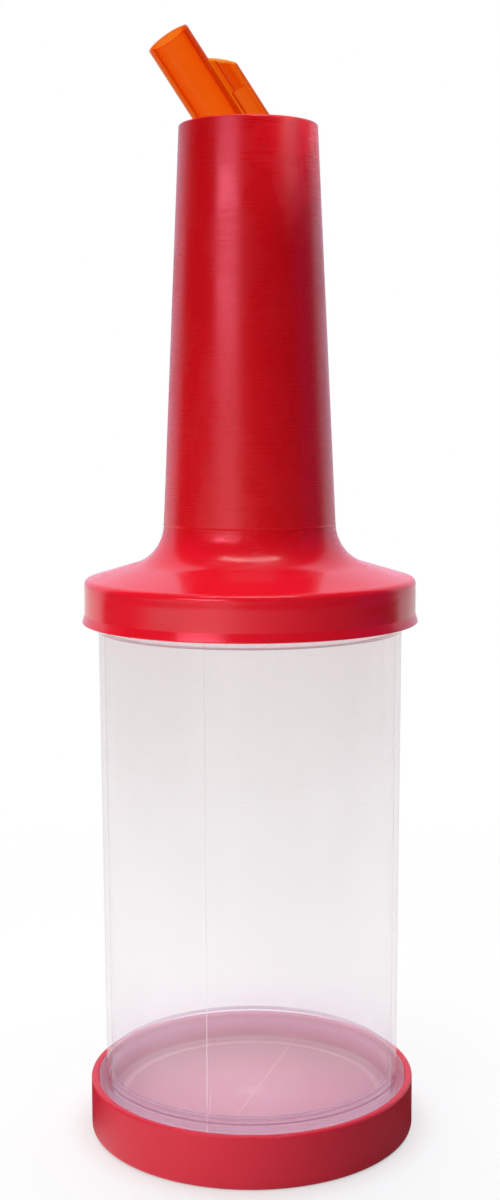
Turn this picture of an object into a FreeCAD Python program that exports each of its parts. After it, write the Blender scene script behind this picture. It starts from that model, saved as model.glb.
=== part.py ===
"""Speed pour bottle: a clear round container with a base cap, a long pouring neck and an angled spout.

Millimetres, +Z up. The origin is the centre of the base cap's underside, and the spout leans towards -X.
Every size is a cell of the sheet "Sizes"; each sub-part is built in its own frame and placed on its seat.
"""

import FreeCAD
import Part

import math
import os

import Sketcher

SIZES = {
    # container
    "container_height": 159.7,  # foot to mouth
    "container_radius": 43.5,  # outside, at the foot
    "container_flare": 0.7,  # how much wider the wall is at the mouth
    "container_wall": 1.5,
    "floor_rise": 6.8,  # inside floor above the foot
    "floor_corner": 2.7,  # rounding between the wall and the inside floor
    "foot_bead_height": 12.1,  # underside of the bead that the base cap grips
    "foot_bead_edge": 2.0,  # height of the bead's upright edge
    "foot_bead_reach": 2.4,
    "foot_bead_step": 0.5,  # small step where the bead's slope leaves the wall
    "foot_bead_slope": 2.9,  # height of the slope above the edge
    "mouth_bead_drop": 9.1,  # top of the mouth bead below the mouth
    "mouth_bead_edge": 1.3,
    "mouth_bead_reach": 1.8,
    "mouth_bead_slope": 1.3,
    "mouth_round": 0.4,
    # base cap
    "cap_height": 15.7,
    "cap_wall": 2.1,
    "cap_floor": 1.8,
    "cap_clearance": 0.2,  # around the foot bead
    "cap_edge_round": 1.3,
    "cap_rim_round": 0.7,
    # collar, shoulder and neck
    "collar_clearance": 0.3,  # around the mouth bead
    "collar_wall": 1.9,
    "collar_drop": 9.3,  # collar below the seat of the container's mouth
    "collar_seat": 2.0,  # how far the seat reaches in from the mouth's outside
    "lip_reach": 0.7,
    "lip_height": 0.4,
    "lip_slope": 2.2,
    "lip_round": 0.25,
    "shoulder_edge": 3.14,  # height of the shoulder's outer corner above the seat
    "shoulder_slope": 16.6,  # degrees from level
    "shoulder_round": 1.8,
    "flare_radius": 12.3,
    "neck_height": 131.8,  # seat to rim
    "neck_top_radius": 19.75,
    "neck_taper": 2.66,  # degrees from upright
    "neck_wall": 2.0,
    "rim_round": 0.6,
    "seam_height": 0.15,  # raised line round the cone
    "seam_width": 0.6,
    "seam_gap": 0.1,  # between the flare and the raised line
    # spout and the neck's seat for it
    "rim_land": 1.45,  # width of the neck's rim outside the plate
    "plate_thickness": 1.5,
    "plate_clearance": 0.1,
    "plate_ledge": 1.0,
    "ledge_height": 5.0,
    "ledge_slope": 2.0,
    "skirt_clearance": 0.1,
    "skirt_wall": 1.1,
    "skirt_length": 7.0,
    "tube_tilt": 33.1,  # degrees from upright
    "tube_radius": 6.45,
    "tube_wall": 1.3,
    "tube_length": 28.6,  # along the axis, from the plate's top to the tip
    "tube_offset": 6.87,  # where the axis crosses the plate's top
    "vent_radius": 3.5,
    "vent_gap": 2.52,  # the vent's axis outside the tube's surface
    "vent_top": 17.0,  # the vent's outer edge above the plate
    "vent_cut": 8.0,  # degrees that the vent's mouth slopes down and outwards
    "vent_bore_radius": 1.3,
    "vent_inlet_radius": 2.25,
    "vent_inlet_length": 12.0,
}

AXIS_MARGIN = 20.0  # how far the cutting tools reach past what they cut
SPAN_SHARE = 4  # width of the cutting box, as a share of the plate's outer radius

doc = FreeCAD.newDocument("speed_pour_bottle")
sheet = doc.addObject("Spreadsheet::Sheet", "Sizes")
for row, (alias, number) in enumerate(SIZES.items(), start=1):
    sheet.set(f"A{row}", alias)
    sheet.set(f"B{row}", str(number))
    sheet.setAlias(f"B{row}", alias)
doc.recompute()


class Size:
    """A length that knows its value now and the sheet expression that gives it."""

    def __init__(self, value, text):
        self.value = value
        self.text = text

    def __add__(self, other):
        other = as_size(other)
        return Size(self.value + other.value, f"({self.text} + {other.text})")

    def __sub__(self, other):
        other = as_size(other)
        return Size(self.value - other.value, f"({self.text} - {other.text})")

    def __mul__(self, other):
        other = as_size(other)
        return Size(self.value * other.value, f"({self.text} * {other.text})")

    def __truediv__(self, other):
        other = as_size(other)
        return Size(self.value / other.value, f"({self.text} / {other.text})")


def as_size(number):
    return number if isinstance(number, Size) else Size(float(number), repr(float(number)))


def size(alias):
    return Size(float(SIZES[alias]), f"Sizes.{alias}")


def tangent(angle):
    return Size(math.tan(math.radians(angle.value)), f"tan({angle.text} * 1 deg)")


def sine(angle):
    return Size(math.sin(math.radians(angle.value)), f"sin({angle.text} * 1 deg)")


def cosine(angle):
    return Size(math.cos(math.radians(angle.value)), f"cos({angle.text} * 1 deg)")


def bind(thing, prop, length):
    thing.setExpression(prop, length.text)


def origin_plane(body, role):
    return next(item for item in body.Origin.OriginFeatures if item.Role == role)


def new_body(label):
    body = doc.addObject("PartDesign::Body", label)
    body.Label = label
    return body


def profile_sketch(body, name, points):
    """A closed outline in the XZ plane through (radius, height) points, each bound to the sheet."""
    sketch = body.newObject("Sketcher::SketchObject", name)
    sketch.AttachmentSupport = (origin_plane(body, "XZ_Plane"), [""])
    sketch.MapMode = "FlatFace"
    count = len(points)
    corners = [FreeCAD.Vector(as_size(r).value, as_size(z).value, 0) for r, z in points]
    for i in range(count):
        sketch.addGeometry(Part.LineSegment(corners[i], corners[(i + 1) % count]), False)
    for i in range(count):
        sketch.addConstraint(Sketcher.Constraint("Coincident", i, 2, (i + 1) % count, 1))
    for i, (radius, height) in enumerate(points):
        for kind, axis, length in (("DistanceX", -2, as_size(radius)), ("DistanceY", -1, as_size(height))):
            if length.text == "0.0":
                sketch.addConstraint(Sketcher.Constraint("PointOnObject", i, 1, axis))
                continue
            index = sketch.addConstraint(Sketcher.Constraint(kind, -1, 1, i, 1, length.value))
            sketch.setExpression(f"Constraints[{index}]", length.text)
    return sketch


def turned(body, name, points):
    """The outline turned once round the Z axis."""
    sketch = profile_sketch(body, name + "_outline", points)
    solid = body.newObject("PartDesign::Revolution", name)
    solid.Profile = sketch
    solid.ReferenceAxis = (sketch, ["V_Axis"])
    solid.Angle = 360
    doc.recompute()
    return solid


def ring_edge(feature, radius, height):
    """The name of the circular edge with this radius and height."""
    best = None
    for index, edge in enumerate(feature.Shape.Edges, start=1):
        if not isinstance(edge.Curve, Part.Circle):
            continue
        miss = abs(edge.Curve.Radius - radius.value) + abs(edge.Curve.Center.z - height.value)
        if best is None or miss < best[0]:
            best = (miss, f"Edge{index}")
    if best[0] > 0.01:
        raise ValueError(f"{feature.Label}: no edge at radius {radius.value}, height {height.value}")
    return best[1]


def rounded(body, name, base, rings, radius):
    """A fillet of one size on the ring edges given as (radius, height)."""
    fillet = body.newObject("PartDesign::Fillet", name)
    fillet.Base = (base, [ring_edge(base, as_size(r), as_size(z)) for r, z in rings])
    fillet.Radius = radius.value
    bind(fillet, "Radius", radius)
    doc.recompute()
    return fillet


# Sizes that several sub-parts share.
wall = size("container_wall")
foot_radius = size("container_radius")
mouth_radius = foot_radius + size("container_flare")
foot_bead_radius = foot_radius + size("foot_bead_reach")
mouth_bead_radius = mouth_radius + size("mouth_bead_reach")
cap_bore = foot_bead_radius + size("cap_clearance")
collar_bore = mouth_bead_radius + size("collar_clearance")
mouth_level = size("cap_floor") + size("container_height")
rim_level = mouth_level + size("neck_height")
plate_bore = size("neck_top_radius") - size("rim_land")
plate_radius = plate_bore - size("plate_clearance")
skirt_bore = plate_radius - size("plate_ledge")
skirt_radius = skirt_bore - size("skirt_clearance")
vent_offset = size("tube_radius") + size("vent_gap")
zero = as_size(0)


def build_base_cap():
    """The shallow snap-on cap under the container. Its frame is the part's own."""
    body = new_body("base_cap")
    outer = cap_bore + size("cap_wall")
    rim = size("cap_height")
    cup = turned(
        body,
        "cap_cup",
        [
            (zero, zero),
            (outer, zero),
            (outer, rim),
            (cap_bore, rim),
            (cap_bore, size("cap_floor")),
            (zero, size("cap_floor")),
        ],
    )
    edge = rounded(body, "cap_foot_rounding", cup, [(outer, zero)], size("cap_edge_round"))
    rounded(body, "cap_rim_rounding", edge, [(outer, rim), (cap_bore, rim)], size("cap_rim_round"))
    return body


def build_container():
    """The clear round vessel for the drink, from its foot on the cap's floor to its mouth."""
    body = new_body("container")
    top = size("container_height")
    floor = size("floor_rise")
    inner_foot = foot_radius - wall
    inner_mouth = mouth_radius - wall
    bead_low = size("foot_bead_height")
    bead_top = bead_low + size("foot_bead_edge")
    slope_top = bead_top + size("foot_bead_slope")
    step = size("foot_bead_step")
    mouth_bead_top = top - size("mouth_bead_drop")
    mouth_bead_low = mouth_bead_top - size("mouth_bead_edge")
    mouth_slope_low = mouth_bead_low - size("mouth_bead_slope")
    shell = turned(
        body,
        "container_shell",
        [
            (inner_foot, zero),
            (foot_radius, zero),
            (foot_radius, bead_low),
            (foot_bead_radius, bead_low),
            (foot_bead_radius, bead_top),
            (foot_radius + step, slope_top - step),
            (foot_radius, slope_top - step),
            (foot_radius, slope_top),
            (mouth_radius, mouth_slope_low),
            (mouth_bead_radius, mouth_bead_low),
            (mouth_bead_radius, mouth_bead_top),
            (mouth_radius, mouth_bead_top),
            (mouth_radius, top),
            (inner_mouth, top),
            (inner_foot, floor),
            (zero, floor),
            (zero, floor - wall),
            (inner_foot, floor - wall),
        ],
    )
    corner = rounded(body, "floor_rounding", shell, [(inner_foot, floor)], size("floor_corner"))
    rounded(
        body,
        "mouth_rounding",
        corner,
        [(mouth_radius, top), (inner_mouth, top)],
        size("mouth_round"),
    )
    bind(body, "Placement.Base.z", size("cap_floor"))
    return body


def build_neck():
    """Collar, shoulder and long neck in one piece. Height 0 is the seat of the container's mouth."""
    body = new_body("neck")
    rim = size("neck_height")
    neck_wall = size("neck_wall")
    taper = tangent(size("neck_taper"))
    slope = tangent(size("shoulder_slope"))
    top_radius = size("neck_top_radius")
    collar = collar_bore + size("collar_wall")
    corner = size("shoulder_edge")
    lip = collar + size("lip_reach")
    low = zero - size("collar_drop")
    lip_top = low + size("lip_height")

    def foot_of_cone(shift, drop):
        """Where a cone and a shoulder meet that lie inside the outer ones by shift and drop."""
        reach = rim - (corner - drop) - collar * slope
        radius = (top_radius - shift + reach * taper) / (as_size(1) - slope * taper)
        return radius, corner - drop + (collar - radius) * slope

    outer_foot = foot_of_cone(zero, zero)
    inner_drop = neck_wall / cosine(size("shoulder_slope"))
    inner_shift = neck_wall / cosine(size("neck_taper"))
    inner_foot = foot_of_cone(inner_shift, inner_drop)

    def outer_radius(height):
        return top_radius + (rim - height) * taper

    def inner_radius(height):
        return outer_radius(height) - inner_shift

    seat_inside = mouth_radius - size("collar_seat")
    seat_top = corner - inner_drop + (collar - seat_inside) * slope
    plate_seat = rim - size("plate_thickness")
    ledge_low = plate_seat - size("ledge_height")
    ledge_foot = ledge_low - size("ledge_slope")
    half_turn = (as_size(90) - size("shoulder_slope") - size("neck_taper")) / 2
    flare_top = outer_foot[1] + size("flare_radius") * tangent(half_turn) * cosine(size("neck_taper"))
    seam_low = flare_top + size("seam_gap")
    seam_middle = seam_low + size("seam_width") / 2
    seam_high = seam_low + size("seam_width")
    shell = turned(
        body,
        "neck_shell",
        [
            (collar_bore, low),
            (lip, low),
            (lip, lip_top),
            (collar, lip_top + size("lip_slope")),
            (collar, corner),
            outer_foot,
            (outer_radius(seam_low), seam_low),
            (outer_radius(seam_middle) + size("seam_height"), seam_middle),
            (outer_radius(seam_high), seam_high),
            (top_radius, rim),
            (plate_bore, rim),
            (plate_bore, plate_seat),
            (skirt_bore, plate_seat),
            (skirt_bore, ledge_low),
            (inner_radius(ledge_foot), ledge_foot),
            inner_foot,
            (seat_inside, seat_top),
            (seat_inside, zero),
            (collar_bore, zero),
        ],
    )
    flare = rounded(body, "outer_flare", shell, [outer_foot], size("flare_radius"))
    inner_flare = rounded(body, "inner_flare", flare, [inner_foot], size("flare_radius") + neck_wall)
    shoulder = rounded(body, "shoulder_rounding", inner_flare, [(collar, corner)], size("shoulder_round"))
    rim_edge = rounded(body, "rim_rounding", shoulder, [(top_radius, rim)], size("rim_round"))
    rounded(body, "lip_rounding", rim_edge, [(lip, low)], size("lip_round"))
    bind(body, "Placement.Base.z", mouth_level)
    return body


def tilted_cylinder(name, radius, low, high, offset):
    """A cylinder along the spout's axis, from low to high on it, offset towards the vent's side."""
    tilt = size("tube_tilt")
    rod = doc.addObject("Part::Cylinder", name)
    bind(rod, "Radius", radius)
    bind(rod, "Height", high - low)
    rod.Placement.Rotation = FreeCAD.Rotation(FreeCAD.Vector(0, 1, 0), -tilt.value)
    bind(rod, "Placement.Rotation.Angle", zero - tilt)
    bind(rod, "Placement.Base.x", offset * cosine(tilt) - low * sine(tilt) - size("tube_offset"))
    bind(rod, "Placement.Base.z", offset * sine(tilt) + low * cosine(tilt) + size("plate_thickness"))
    return rod


def upright_cylinder(name, radius, low, high):
    rod = doc.addObject("Part::Cylinder", name)
    bind(rod, "Radius", radius)
    bind(rod, "Height", high - low)
    bind(rod, "Placement.Base.z", low)
    return rod


def boolean(kind, name, base, *tools):
    """A cut, or a fusion or common of two shapes, by Part's own boolean objects."""
    if len(tools) == 1:
        result = doc.addObject(f"Part::{kind}", name)
        result.Base = base
        result.Tool = tools[0]
    else:
        result = doc.addObject(f"Part::Multi{kind}", name)
        result.Shapes = [base, *tools]
    doc.recompute()
    return result


def build_spout():
    """The pour spout: a plate and plug skirt, with a slanted tube and a vent tube beside it.

    Height 0 is the underside of the plate, which lies on the ledge inside the neck's rim.
    """
    plate_top = size("plate_thickness")
    reach = size("tube_radius") + plate_radius
    tilt = size("tube_tilt")
    vent_outer = vent_offset + size("vent_radius")
    plate = upright_cylinder("plate", plate_radius, zero, plate_top)
    skirt = upright_cylinder("skirt", skirt_radius, zero - size("skirt_length"), plate_top)
    tube = tilted_cylinder("tube", size("tube_radius"), zero - reach, size("tube_length"), zero)
    vent = tilted_cylinder("vent", size("vent_radius"), zero - reach, size("tube_length"), vent_offset)

    cutter = doc.addObject("Part::Box", "vent_mouth_cutter")
    span = reach * SPAN_SHARE
    for side in ("Length", "Width", "Height"):
        bind(cutter, side, span)
    cutter.Placement.Rotation = FreeCAD.Rotation(FreeCAD.Vector(0, 1, 0), SIZES["vent_cut"])
    bind(cutter, "Placement.Rotation.Angle", size("vent_cut"))
    edge_x = vent_outer / cosine(tilt) - size("vent_top") * tangent(tilt) - size("tube_offset")
    back = span / 2
    bind(cutter, "Placement.Base.x", edge_x - back * cosine(size("vent_cut")))
    bind(cutter, "Placement.Base.y", zero - back)
    bind(cutter, "Placement.Base.z", plate_top + size("vent_top") + back * sine(size("vent_cut")))
    cut_vent = boolean("Cut", "cut_vent", vent, cutter)

    above = upright_cylinder("above_plate", span, zero, span)
    tubes = boolean("Fuse", "tubes", tube, cut_vent)
    risers = boolean("Common", "risers", tubes, above)
    solid = boolean("Fuse", "spout_solid", plate, skirt, risers)

    hollow = upright_cylinder(
        "skirt_hollow",
        skirt_radius - size("skirt_wall"),
        zero - size("skirt_length") - AXIS_MARGIN,
        zero,
    )
    bore = tilted_cylinder(
        "bore",
        size("tube_radius") - size("tube_wall"),
        zero - reach,
        size("tube_length") + AXIS_MARGIN,
        zero,
    )
    vent_bore = tilted_cylinder(
        "vent_bore",
        size("vent_bore_radius"),
        zero,
        size("tube_length"),
        vent_offset,
    )
    inlet_low = zero - vent_offset * tangent(tilt)
    vent_inlet = tilted_cylinder(
        "vent_inlet",
        size("vent_inlet_radius"),
        zero - reach,
        inlet_low + size("vent_inlet_length"),
        vent_offset,
    )
    hollows = boolean("Fuse", "spout_hollows", hollow, bore, vent_bore, vent_inlet)
    spout = boolean("Cut", "spout", solid, hollows)
    spout.Label = "spout"
    bind(spout, "Placement.Base.z", rim_level - plate_top)
    return spout


nodes = [build_base_cap(), build_container(), build_neck(), build_spout()]
doc.recompute()

for item in doc.Objects:
    if "Invalid" in item.State or "Error" in item.State:
        raise RuntimeError(f"{item.Label} failed: {item.State}")
for node in nodes:
    if node.Shape.isNull() or not node.Shape.isValid() or len(node.Shape.Solids) != 1:
        raise RuntimeError(f"{node.Label} is not one valid solid")

os.makedirs("parts", exist_ok=True)
for node in nodes:
    node.Shape.exportStep(f"parts/{node.Label}.step")
    box = node.Shape.BoundBox
    print(
        f"{node.Label}: {node.Shape.Volume / 1000:.2f} cm3,"
        f" x {box.XMin:.2f} {box.XMax:.2f}, z {box.ZMin:.2f} {box.ZMax:.2f}"
    )
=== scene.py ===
"""Looks for the speed pour bottle: materials, fine marks, floor, studio light and camera.

Metres and watts. The bottle stands on the floor at the origin, and the camera looks along +Y.
"""

import math

import bpy
from mathutils import Matrix, Vector


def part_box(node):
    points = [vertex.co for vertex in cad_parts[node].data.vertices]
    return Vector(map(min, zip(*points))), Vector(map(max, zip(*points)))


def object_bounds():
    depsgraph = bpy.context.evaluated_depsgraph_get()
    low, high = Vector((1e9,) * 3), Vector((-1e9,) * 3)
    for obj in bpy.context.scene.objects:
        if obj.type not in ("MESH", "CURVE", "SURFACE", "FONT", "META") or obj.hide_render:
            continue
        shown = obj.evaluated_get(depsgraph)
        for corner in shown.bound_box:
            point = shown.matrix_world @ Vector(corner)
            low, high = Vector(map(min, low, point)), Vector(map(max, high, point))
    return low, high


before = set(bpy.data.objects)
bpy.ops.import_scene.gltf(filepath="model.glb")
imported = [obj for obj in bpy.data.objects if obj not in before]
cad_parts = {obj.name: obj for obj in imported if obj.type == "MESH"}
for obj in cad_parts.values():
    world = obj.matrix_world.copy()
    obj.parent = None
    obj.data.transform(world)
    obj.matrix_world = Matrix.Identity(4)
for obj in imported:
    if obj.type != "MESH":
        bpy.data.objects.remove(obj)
cad_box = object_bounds()

WHITE = (1, 1, 1, 1)


# ------------------------------------------------------------------ camera
CAMERA_PLACE = (0.0, -0.4847, 0.2155)
CAMERA_PITCH = math.radians(6.75)  # below level
CAMERA_ROLL = math.radians(-0.214)
CAMERA_LENS = 50.07  # millimetres, for Blender's 36 mm sensor on the long side


def make_camera():
    data = bpy.data.cameras.new("camera")
    data.lens = CAMERA_LENS
    data.clip_start = 0.01
    data.clip_end = 20.0
    camera = bpy.data.objects.new("camera", data)
    bpy.context.scene.collection.objects.link(camera)
    aim = Matrix.Rotation(math.radians(90) - CAMERA_PITCH, 4, "X")
    roll = Matrix.Rotation(CAMERA_ROLL, 4, "Z")
    camera.matrix_world = Matrix.Translation(Vector(CAMERA_PLACE)) @ aim @ roll
    bpy.context.scene.camera = camera


# ------------------------------------------------------------------ node helpers
class Nodes:
    """A short way to add nodes to a tree and link them. Values may be numbers, colours or sockets."""

    def __init__(self, tree):
        self.tree = tree
        tree.nodes.clear()

    def add(self, kind, settings=None, inputs=None):
        node = self.tree.nodes.new(kind)
        for name, value in (settings or {}).items():
            setattr(node, name, value)
        for name, value in (inputs or {}).items():
            self.set(node, name, value)
        return node

    def set(self, node, name, value):
        socket = node.inputs[name]
        if isinstance(value, bpy.types.NodeSocket):
            self.tree.links.new(value, socket)
        else:
            socket.default_value = value

    # numbers
    def math(self, operation, first, *others):
        for other in others:
            first = self.add("ShaderNodeMath", {"operation": operation}, {0: first, 1: other}).outputs[0]
        return first

    def plus(self, *values):
        return self.math("ADD", *values)

    def minus(self, *values):
        return self.math("SUBTRACT", *values)

    def times(self, *values):
        return self.math("MULTIPLY", *values)

    def largest(self, *values):
        return self.math("MAXIMUM", *values)

    def power(self, value, exponent):
        return self.math("POWER", value, exponent)

    def ramp(self, value, start, end, low=0.0, high=1.0):
        """value mapped smoothly from start..end to low..high."""
        names = {"Value": value, "From Min": start, "From Max": end, "To Min": low, "To Max": high}
        return self.add("ShaderNodeMapRange", {"interpolation_type": "SMOOTHSTEP"}, names).outputs[0]

    def opposite(self, share):
        """1 where share is 0, and 0 where it is 1."""
        return self.ramp(share, 0.0, 1.0, 1.0, 0.0)

    def line(self, value, middle, half_width):
        """1 where value is at middle, falling to 0 at half_width from it."""
        away = self.math("ABSOLUTE", self.minus(value, middle), 0.0)
        return self.ramp(away, half_width, 0.0)

    # places on the object
    def place(self, stretch=(1, 1, 1)):
        """The point on the object in metres, stretched along its axes."""
        point = self.add("ShaderNodeTexCoord").outputs["Object"]
        return self.add("ShaderNodeMapping", None, {"Vector": point, "Scale": stretch}).outputs[0]

    def axes(self):
        """The point's places across (X), along (Y) and up (Z)."""
        return self.add("ShaderNodeSeparateXYZ", None, {0: self.place()}).outputs

    def height(self):
        return self.axes()[2]

    def radius(self):
        """How far the point is from the bottle's upright axis."""
        return self.length(self.place((1, 1, 0)))

    def vector(self, operation, first, second=(0, 0, 0)):
        return self.add("ShaderNodeVectorMath", {"operation": operation}, {0: first, 1: second}).outputs

    def length(self, value):
        return self.vector("LENGTH", value)["Value"]

    def dot(self, first, second):
        return self.vector("DOT_PRODUCT", first, second)["Value"]

    def noise(self, stretch, detail=3.0, roughness=0.5):
        """Cloudy values from 0 to 1; stretch is in features per metre along each axis."""
        names = {"Vector": self.place(stretch), "Scale": 1.0, "Detail": detail, "Roughness": roughness}
        return self.add("ShaderNodeTexNoise", None, names).outputs[0]

    # how the surface is seen
    def slant(self):
        """0 where the surface is seen squarely, rising to 1 at its outline."""
        return self.add("ShaderNodeLayerWeight", None, {0: 0.5}).outputs["Facing"]

    def outside(self):
        """1 on a surface seen from outside the plastic, 0 from inside it."""
        return self.minus(1.0, self.add("ShaderNodeNewGeometry").outputs["Backfacing"])

    # colours and shaders
    def blend(self, share, first, second):
        """One colour turning into another."""
        node = self.add("ShaderNodeMix", {"data_type": "RGBA"}, {0: share})
        self.set(node, 6, first)
        self.set(node, 7, second)
        return node.outputs[2]

    def bump(self, height, depth):
        names = {"Height": height, "Distance": depth, "Strength": 1.0}
        return self.add("ShaderNodeBump", None, names).outputs[0]

    def shader(self, kind, inputs=None):
        return self.add(kind, None, inputs).outputs[0]

    def mix(self, share, first, second):
        """One shader turning into another."""
        return self.shader("ShaderNodeMixShader", {0: share, 1: first, 2: second})


def new_material(name):
    material = bpy.data.materials.new(name)
    material.use_nodes = True
    return material, Nodes(material.node_tree)


def dress(obj, material):
    obj.data.materials.clear()
    obj.data.materials.append(material)


def levels(name):
    """The lowest and highest levels of a CAD node."""
    low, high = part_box(name)
    return low[2], high[2]


# ------------------------------------------------------------------ red plastic
NECK_FOOT, NECK_RIM = levels("neck")
COLLAR_TOP = NECK_FOOT + 0.0158
CONE_FOOT = NECK_FOOT + 0.0328
BAND_MIDDLE = NECK_FOOT + 0.0085  # a faint moulded band round the collar
BAND_HALF = 0.003

# each pair is the darkest and lightest of a cloudy colour
CONE_COLORS = ((0.66, 0.002, 0.006, 1), (0.74, 0.004, 0.012, 1))
# The collar's colours are lighter than the cone's as painted light: more lamp light falls on it low down.
COLLAR_LIT_COLORS = ((0.82, 0.006, 0.019, 1), (0.90, 0.010, 0.029, 1))
CAP_COLORS = ((0.67, 0.010, 0.031, 1), (0.75, 0.014, 0.041, 1))

COLLAR_ROUGHNESS = 0.17
CONE_ROUGHNESS = 0.27
SCRATCH_ROUGHNESS = 0.10
WAVE_DEPTH = 0.00014
SCRATCH_DEPTH = 0.000015
GRAIN_DEPTH = 0.00003


def solid_plastic(nodes, color, roughness, normal):
    names = {"Base Color": color, "Roughness": roughness, "Normal": normal}
    shader = nodes.shader("ShaderNodeBsdfPrincipled", names)
    nodes.add("ShaderNodeOutputMaterial", None, {"Surface": shader})


def red_gloss():
    """Polished red plastic of the neck and its collar, finely scratched round the cone; the collar's colour
    is painted lighter, as painted light.
    """
    material, nodes = new_material("red_gloss")
    height = nodes.height()
    on_cone = nodes.ramp(height, COLLAR_TOP, CONE_FOOT)
    mottle = nodes.noise((30, 30, 30))
    # the collar's lighter colours are painted light
    color = nodes.blend(on_cone, nodes.blend(mottle, *COLLAR_LIT_COLORS), nodes.blend(mottle, *CONE_COLORS))

    worn = nodes.ramp(nodes.noise((110, 110, 60), 2.0), 0.35, 0.65, 0.4, 1.0)
    scratches = nodes.times(nodes.noise((70, 70, 4500), 3.0, 0.6), worn)
    polish = nodes.ramp(on_cone, 0.0, 1.0, COLLAR_ROUGHNESS, CONE_ROUGHNESS)
    roughness = nodes.plus(polish, nodes.ramp(scratches, 0.3, 0.6, 0.0, SCRATCH_ROUGHNESS))

    waves = nodes.times(nodes.noise((4, 4, 330), 1.0), 0.6)
    waves = nodes.plus(waves, nodes.line(height, BAND_MIDDLE, BAND_HALF))
    relief = nodes.ramp(on_cone, 0.0, 1.0, waves, scratches)
    depth = nodes.ramp(on_cone, 0.0, 1.0, WAVE_DEPTH, SCRATCH_DEPTH)
    solid_plastic(nodes, color, roughness, nodes.bump(relief, depth))
    return material


def red_satin():
    """Softer red plastic of the base cap, with a fine grain."""
    material, nodes = new_material("red_satin")
    color = nodes.blend(nodes.noise((60, 60, 60)), *CAP_COLORS)
    grain = nodes.noise((1500, 1500, 1500))
    roughness = nodes.ramp(grain, 0.3, 0.7, 0.36, 0.46)
    solid_plastic(nodes, color, roughness, nodes.bump(grain, GRAIN_DEPTH))
    return material


# ------------------------------------------------------------------ container
FOOT_LEVEL, MOUTH_LEVEL = levels("container")
FLOOR_LEVEL = FOOT_LEVEL + 0.0068  # the inside floor
BEAD_FOOT = MOUTH_LEVEL - 0.0115  # where the mouth bead leaves the wall
WALL_MIDDLE = 0.0427  # between the wall's two surfaces, at level 0
WALL_FLARE = 0.0044  # how much the wall widens per metre up
CORNER_RADIUS = 0.0385  # of the painted highlight arc at the edge of the inside floor
WELD_SIDE = (0.954, -0.300, 0.0)  # square to the weld line across the floor
WELD_OFFSET = 0.0011
GATE_RADIUS = 0.007
SEAM_PLACE = -0.0124
SHADE_RINGS = (  # level and half width of the painted shade lines round the container's edges
    (FOOT_LEVEL + 0.0169, 0.0004),
    (FOOT_LEVEL + 0.0158, 0.0003),
    (BEAD_FOOT, 0.0003),
)

# Painted light: the foot's mauve stands for the red cap's light in the plastic, deepest at the far side.
FAR_FOOT_RED_LIGHT_COLOR = (0.80, 0.50, 0.80, 1)
NEAR_FOOT_RED_LIGHT_COLOR = (0.82, 0.71, 0.84, 1)
INNER_FLOOR_COLOR = (0.90, 0.88, 1.0, 1)
LOW_WALL_COLOR = (0.98, 0.97, 0.97, 1)
# Painted shade: the wall turns greyer high up, under the collar.
HIGH_WALL_SHADE_COLOR = (0.84, 0.79, 0.80, 1)
OUTLINE_COLOR = (0.62, 0.58, 0.60, 1)
# Painted light: a pale pink sheen on the mouth bead.
BEAD_SHEEN_COLOR = (0.97, 0.84, 0.87, 1)
# Painted shade: the colour of the dark lines at the beads.
RING_SHADE_COLOR = (0.46, 0.28, 0.40, 1)

WALL_MILK = 0.16  # shares of the light that the plastic scatters
FOOT_MILK = 0.50
FLOOR_MILK = 0.16  # these four are added to the wall's or foot's
BEAD_MILK = 0.10
SLANT_MILK = 0.13
MARK_MILK = 0.6
GLOW_SHARE = 0.85  # part of the scattered light that goes through


def floor_marks_and_highlight(nodes, across, along, radius):
    """Pale marks on the inside floor: a painted highlight along its far corner, and the moulding's weld
    line and gate.
    """
    corner = nodes.times(nodes.line(radius, CORNER_RADIUS, 0.0015), nodes.ramp(along, -0.012, 0.002))
    beside = nodes.plus(nodes.times(across, WELD_SIDE[0]), nodes.times(along, WELD_SIDE[1]))
    weld = nodes.times(nodes.line(beside, WELD_OFFSET, 0.0004), nodes.ramp(along, -0.020, -0.012))
    gate = nodes.ramp(radius, GATE_RADIUS, 0.0)
    return nodes.largest(corner, nodes.times(weld, 0.3), nodes.times(gate, 0.2))


def front_seam(nodes, across, along, height):
    """The mould's parting line down the front wall, clearest near the foot."""
    seam = nodes.times(nodes.line(across, SEAM_PLACE, 0.0003), nodes.ramp(along, 0.0, -0.005))
    return nodes.times(seam, nodes.ramp(height, 0.10, 0.03, 0.2, 1.0))


def milkiness(nodes, height, radius, slant, on_floor, on_bead):
    """The share of the light that the plain plastic scatters."""
    milk = nodes.ramp(height, FLOOR_LEVEL + 0.005, FLOOR_LEVEL + 0.011, FOOT_MILK, WALL_MILK)
    milk = nodes.plus(milk, nodes.times(on_floor, FLOOR_MILK), nodes.times(on_bead, BEAD_MILK))
    cloud = nodes.ramp(nodes.noise((40, 40, 15)), 0.3, 0.7, -0.01, 0.01)
    wall = nodes.minus(radius, nodes.times(height, WALL_FLARE))
    outer = nodes.ramp(wall, WALL_MIDDLE - 0.0002, WALL_MIDDLE + 0.0002)
    slanted = nodes.times(outer, nodes.ramp(slant, 0.71, 0.76, 0.0, SLANT_MILK))
    return nodes.plus(milk, cloud, slanted)


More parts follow.
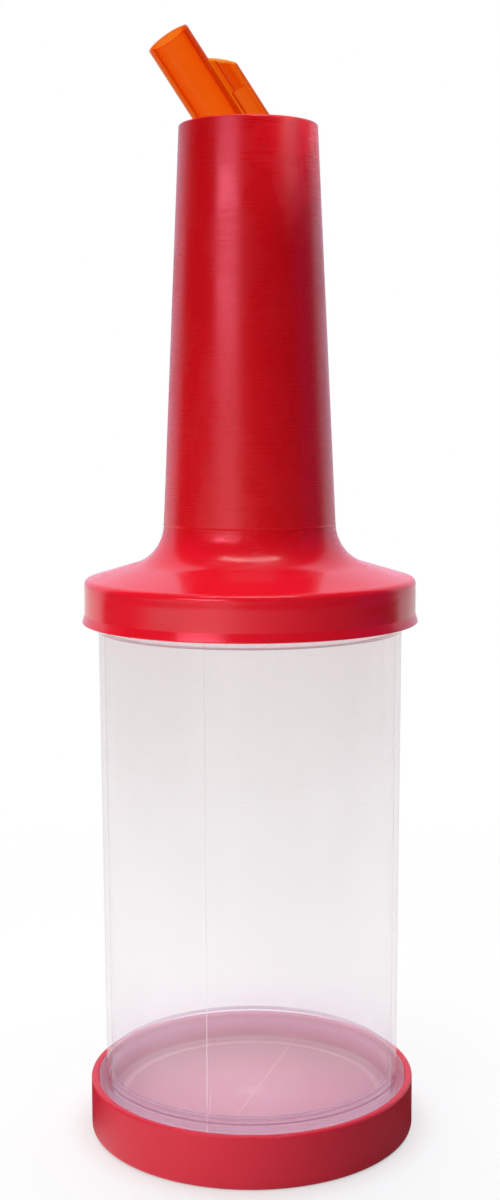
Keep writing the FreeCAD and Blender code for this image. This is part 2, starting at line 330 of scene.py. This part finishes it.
def container_color(nodes, along, height, slant, on_floor, on_bead):
    """The scattered light's colour: painted mauve light of the red cap low down, painted shade of the
    collar turning it greyer higher up, and a painted sheen on the mouth bead.
    """
    # painted light of the red cap in the foot, deepest at the far side
    foot = nodes.blend(nodes.ramp(along, 0.025, 0.0), FAR_FOOT_RED_LIGHT_COLOR, NEAR_FOOT_RED_LIGHT_COLOR)
    foot = nodes.blend(on_floor, foot, INNER_FLOOR_COLOR)
    color = nodes.blend(nodes.ramp(height, FLOOR_LEVEL, 0.035), foot, LOW_WALL_COLOR)
    # painted shade under the collar turns the wall greyer higher up
    color = nodes.blend(nodes.ramp(height, 0.04, 0.13), color, HIGH_WALL_SHADE_COLOR)
    color = nodes.blend(nodes.power(slant, 4.0), color, OUTLINE_COLOR)
    # painted pale pink sheen on the mouth bead
    return nodes.blend(on_bead, color, BEAD_SHEEN_COLOR)


def frosted_clear():
    """Thin, slightly milky plastic of the container, with the marks of its moulding, a painted highlight on
    the inside floor's corner and painted shade lines round its edges.
    """
    material, nodes = new_material("frosted_clear")
    across, along, height = nodes.axes()
    radius = nodes.radius()
    slant = nodes.slant()
    on_floor = nodes.ramp(height, FLOOR_LEVEL + 0.0006, FLOOR_LEVEL + 0.0014, 1.0, 0.0)
    on_bead = nodes.ramp(height, BEAD_FOOT, BEAD_FOOT + 0.0003)

    # pale: the moulding's weld line, gate and seam, with a painted highlight on the floor's far corner
    pale = nodes.times(floor_marks_and_highlight(nodes, across, along, radius), on_floor)
    pale = nodes.largest(pale, nodes.times(front_seam(nodes, across, along, height), 0.35))
    # dark: painted shade lines at the beads
    dark = nodes.largest(*[nodes.line(height, level, half) for level, half in SHADE_RINGS])
    share = milkiness(nodes, height, radius, slant, on_floor, on_bead)
    share = nodes.plus(share, nodes.times(nodes.largest(pale, dark), MARK_MILK))
    color = container_color(nodes, along, height, slant, on_floor, on_bead)
    color = nodes.blend(pale, nodes.blend(dark, color, RING_SHADE_COLOR), WHITE)

    milk = nodes.shader("ShaderNodeBsdfDiffuse", {"Color": color})
    glow = nodes.shader("ShaderNodeBsdfTranslucent", {"Color": color})
    clear = nodes.shader("ShaderNodeBsdfTransparent")
    body = nodes.mix(share, clear, nodes.mix(GLOW_SHARE, milk, glow))
    shine = nodes.shader("ShaderNodeBsdfGlossy", {"Roughness": 0.12})
    gloss = nodes.times(nodes.ramp(nodes.power(slant, 5.0), 0.0, 1.0, 0.03, 0.12), nodes.outside())
    nodes.add("ShaderNodeOutputMaterial", None, {"Surface": nodes.mix(gloss, body, shine)})
    return material


# ------------------------------------------------------------------ spout
PLATE_TOP = NECK_RIM + 0.0001
TUBE_TILT = math.radians(33.1)  # from upright
TUBE_FOOT = (-0.00687, 0.0, NECK_RIM)  # on the tube's axis
TUBE_AXIS = (-math.sin(TUBE_TILT), 0.0, math.cos(TUBE_TILT))
TUBE_SIDE = (math.cos(TUBE_TILT), 0.0, math.sin(TUBE_TILT))  # square to it, away from the lean
TUBE_REACH = 0.0066  # from the axis to just outside the tube
TUBE_WALL_MIDDLE = 0.0058  # from the axis to between the wall's two surfaces

# each pair is the darkest and lightest of a streaky tint
SPOUT_TINTS = ((0.965, 0.71, 0.47, 1), (0.98, 0.74, 0.51, 1))
BORE_TINTS = ((0.95, 0.25, 0.030, 1), (0.97, 0.275, 0.040, 1))
OUTLINE_TINT = (0.90, 0.72, 1.0, 1)
# Painted shade: the dark line down the tube's side.
SIDE_SHADE_LINE_TINT = (0.80, 0.42, 0.40, 1)
SPOUT_DYE = (0.963, 0.70, 0.12, 1)  # what a millimetre leaves of white light
SPOUT_HAZE = (0.90, 0.16, 0.012, 1)
SPOUT_GLINT = (1, 0.7, 0.6, 1)
PLATE_CLOUD = 0.55
TUBE_CLOUD = 0.05


def spout_tint(nodes):
    """The surfaces' tint. The tube has most of its tint where light leaves the near wall, so that its
    end is as deep in colour, and a painted dark line of shade down the side away from its lean."""
    streaks = nodes.noise((150, 150, 40))
    geometry = nodes.add("ShaderNodeNewGeometry").outputs
    away = nodes.vector("SUBTRACT", nodes.place(), TUBE_FOOT)["Vector"]
    distance = nodes.length(nodes.vector("CROSS_PRODUCT", away, TUBE_AXIS)["Vector"])
    on_tube = nodes.ramp(distance, TUBE_REACH, TUBE_REACH - 0.0001)
    in_bore = nodes.ramp(distance, TUBE_WALL_MIDDLE + 0.0001, TUBE_WALL_MIDDLE - 0.0001)
    in_bore = nodes.times(in_bore, geometry["Backfacing"])
    outward = nodes.ramp(geometry["Backfacing"], 0.0, 1.0, 1.0, -1.0)
    turned = nodes.times(nodes.dot(geometry["Normal"], TUBE_SIDE), outward)
    # a painted shade line down the tube's side away from its lean
    line = nodes.times(nodes.ramp(turned, 0.76, 0.84), nodes.ramp(nodes.dot(away, TUBE_SIDE), 0.003, 0.004))
    tube = nodes.blend(nodes.ramp(nodes.slant(), 0.4, 0.6), WHITE, OUTLINE_TINT)
    tint = nodes.blend(on_tube, nodes.blend(streaks, *SPOUT_TINTS), tube)
    tint = nodes.blend(in_bore, tint, nodes.blend(streaks, *BORE_TINTS))
    return nodes.blend(line, tint, SIDE_SHADE_LINE_TINT)


def orange_clear():
    """See-through orange plastic of the spout, coloured all through."""
    material, nodes = new_material("orange_clear")
    clear = nodes.shader("ShaderNodeBsdfTransparent", {"Color": spout_tint(nodes)})
    front = nodes.shader("ShaderNodeBsdfDiffuse", {"Color": SPOUT_HAZE})
    through = nodes.shader("ShaderNodeBsdfTranslucent", {"Color": SPOUT_HAZE})
    cloudy = nodes.ramp(nodes.height(), PLATE_TOP, PLATE_TOP + 0.0004, PLATE_CLOUD, TUBE_CLOUD)
    body = nodes.mix(cloudy, clear, nodes.mix(0.5, front, through))
    shine = nodes.shader("ShaderNodeBsdfGlossy", {"Color": SPOUT_GLINT, "Roughness": 0.12})
    gloss = nodes.plus(0.012, nodes.times(nodes.power(nodes.slant(), 5.0), 0.22))
    surface = nodes.mix(nodes.times(gloss, nodes.outside()), body, shine)
    dye = nodes.shader("ShaderNodeVolumeAbsorption", {"Color": SPOUT_DYE, "Density": 1000.0})
    nodes.add("ShaderNodeOutputMaterial", None, {"Surface": surface, "Volume": dye})
    return material


# ------------------------------------------------------------------ floor
FLOOR_SIZE = 6.0
FLOOR_NEAR = 0.10  # up to this distance the floor's shadow is seen at half strength
FLOOR_FAR = 0.40  # and from here on the floor is seen as plain white
FLOOR_PAINT = (0.9, 0.9, 0.9, 1)
FLOOR_BOUNCE = (0.45, 0.45, 0.45, 1)  # what it sends up onto the object


def painted_floor_reflection(nodes):
    """The painted brightness of the floor where the gloss reflects it: the front left, close behind and far
    behind.
    """
    across, along, _ = nodes.axes()
    distance = nodes.radius()
    sideways = nodes.math("DIVIDE", across, distance)
    backwards = nodes.math("DIVIDE", along, distance)
    far = nodes.ramp(distance, 0.3, 0.6)
    front_left = nodes.times(nodes.ramp(sideways, 0.8, -0.6, 0.1, 1.0), nodes.ramp(backwards, 0.1, -0.5))
    far_left = nodes.times(far, nodes.ramp(sideways, -0.55, -0.85))
    front_left = nodes.times(front_left, nodes.ramp(far_left, 0.0, 1.0, 1.0, 0.4))
    close_behind = nodes.times(nodes.ramp(along, 0.0, 0.15), nodes.opposite(far))
    return nodes.largest(front_left, close_behind, nodes.ramp(backwards, 0.42, 0.55))


def floor_white():
    """A white floor that keeps the object's soft shadow and turns into the white backdrop; in the object's
    gloss it shows a painted reflection.
    """
    material, nodes = new_material("floor_white")
    path = nodes.add("ShaderNodeLightPath").outputs
    reflected = path["Is Glossy Ray"]
    color = nodes.blend(path["Is Diffuse Ray"], FLOOR_PAINT, FLOOR_BOUNCE)
    paint = nodes.shader("ShaderNodeBsdfDiffuse", {"Color": color})
    # painted reflection: the floor glows in the gloss
    strength = nodes.ramp(reflected, 0.0, 1.0, 1.0, painted_floor_reflection(nodes))
    glow = nodes.shader("ShaderNodeEmission", {"Color": WHITE, "Strength": strength})
    seen = nodes.largest(path["Is Camera Ray"], path["Is Transmission Ray"])
    seen = nodes.times(seen, nodes.ramp(nodes.radius(), FLOOR_NEAR, FLOOR_FAR, 0.5, 1.0))
    surface = nodes.mix(nodes.largest(seen, reflected), paint, glow)
    nodes.add("ShaderNodeOutputMaterial", None, {"Surface": surface})
    return material


def make_floor():
    side = FLOOR_SIZE / 2
    corners = [(-side, -side, 0), (side, -side, 0), (side, side, 0), (-side, side, 0)]
    mesh = bpy.data.meshes.new("floor")
    mesh.from_pydata(corners, [], [(0, 1, 2, 3)])
    floor = bpy.data.objects.new("floor", mesh)
    bpy.context.scene.collection.objects.link(floor)
    dress(floor, floor_white())


# ------------------------------------------------------------------ room and lamps
ROOM_COLOR = (0.03, 0.03, 0.03, 1)
ROOM_REFLECTED = (0.01, 0.01, 0.01, 1)
WALL_COLOR = (1.1, 1.1, 1.1, 1)
WALL_REFLECTED = (0.85, 0.78, 1.0, 1)
SCATTERED_SHARE = 0.6  # how white the room is for light scattered on through clear plastic

KEY_AIM = (0, 0, 0.12)
SIDE_AIM = (0, 0, 0.05)
SPOT_AIM = (0, 0, 0.25)
RIM_AIM = (0.01, -0.01, 0.311)
INNER_PLACE = (0, 0, 0.10)
LAMP_HEIGHT = 1.3
SPOT_COLOR = (1, 0.32, 0.48)
FILL_COLOR = (0.3, 0.15, 1.0)
INNER_COLOR = (0.5, 0.85, 1.0)


def make_world():
    """A dim grey room with a white wall behind the object; the backdrop itself is seen as white."""
    world = bpy.data.worlds.new("world")
    bpy.context.scene.world = world
    world.use_nodes = True
    nodes = Nodes(world.node_tree)
    path = nodes.add("ShaderNodeLightPath").outputs
    seen = nodes.largest(path["Is Camera Ray"], path["Is Transmission Ray"])
    seen = nodes.largest(seen, nodes.ramp(path["Transmission Depth"], 0.0, 1.0, 0.0, SCATTERED_SHARE))
    direction = nodes.add("ShaderNodeTexCoord").outputs["Generated"]
    backwards = nodes.add("ShaderNodeSeparateXYZ", None, {0: direction}).outputs[1]
    reflected = path["Is Glossy Ray"]
    dim = nodes.blend(reflected, ROOM_COLOR, ROOM_REFLECTED)
    wall = nodes.blend(reflected, WALL_COLOR, WALL_REFLECTED)
    room = nodes.blend(nodes.ramp(backwards, 0.35, 0.50), dim, wall)
    color = nodes.blend(seen, room, WHITE)
    light = nodes.shader("ShaderNodeBackground", {"Color": color, "Strength": 1.0})
    nodes.add("ShaderNodeOutputWorld", None, {"Surface": light})


def soft_box(name, place, aim, size, power, spread=180):
    """A white lamp at place, turned to aim. size is its width and height, and spread is in degrees."""
    data = bpy.data.lights.new(name, "AREA")
    data.shape = "RECTANGLE"
    data.size, data.size_y = size
    data.energy = power
    data.spread = math.radians(spread)
    lamp = bpy.data.objects.new(name, data)
    bpy.context.scene.collection.objects.link(lamp)
    lamp.location = place
    lamp.rotation_euler = (Vector(aim) - Vector(place)).to_track_quat("-Z", "Y").to_euler()
    return lamp


def make_lights():
    middle = (cad_box[0] + cad_box[1]) / 2

    # light without a reflection of its own: front left, low left, inside the container and overhead
    key = soft_box("key", (-0.27, -0.58, 0.08), KEY_AIM, size=(0.35, 0.40), power=2.0)
    side = soft_box("side", (-0.40, -0.25, 0.03), SIDE_AIM, size=(0.25, 0.15), power=0.12, spread=60)
    inner = soft_box("inner", INNER_PLACE, (0, 0, 0), size=(0.06, 0.06), power=0.022, spread=70)
    inner.data.color = INNER_COLOR
    inner.visible_camera = False
    inner.visible_transmission = False
    top = soft_box("top", (0, 0, LAMP_HEIGHT), middle, size=(1.0, 1.0), power=16.0)
    for lamp in (key, side, inner, top):
        lamp.visible_glossy = False

    # reflections only: the stripe down the neck, and the bright line on the shoulder
    spot = soft_box("spot", (-0.35, -0.55, 0.40), SPOT_AIM, size=(0.36, 0.09), power=1.7)
    spot.data.color = SPOT_COLOR
    sheen = soft_box("sheen", (0, -0.25, LAMP_HEIGHT), middle, size=(0.9, 0.16), power=2.6)
    for lamp in (spot, sheen):
        lamp.visible_diffuse = False

    # both: a glint on the neck's rim, and violet light from the right
    soft_box("rim", (0.40, -0.12, 0.50), RIM_AIM, size=(0.06, 0.06), power=0.008, spread=6)
    fill = soft_box("fill", (0.9, 0, 0.3), middle, size=(0.6, 1.0), power=0.4)
    fill.data.color = FILL_COLOR


# ------------------------------------------------------------------ scene
LOOKS = {
    "neck": red_gloss,
    "base_cap": red_satin,
    "container": frosted_clear,
    "spout": orange_clear,
}

make_camera()
bpy.context.scene.view_settings.view_transform = "Standard"
make_floor()
make_world()
make_lights()
for name, make_look in LOOKS.items():
    dress(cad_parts[name], make_look())
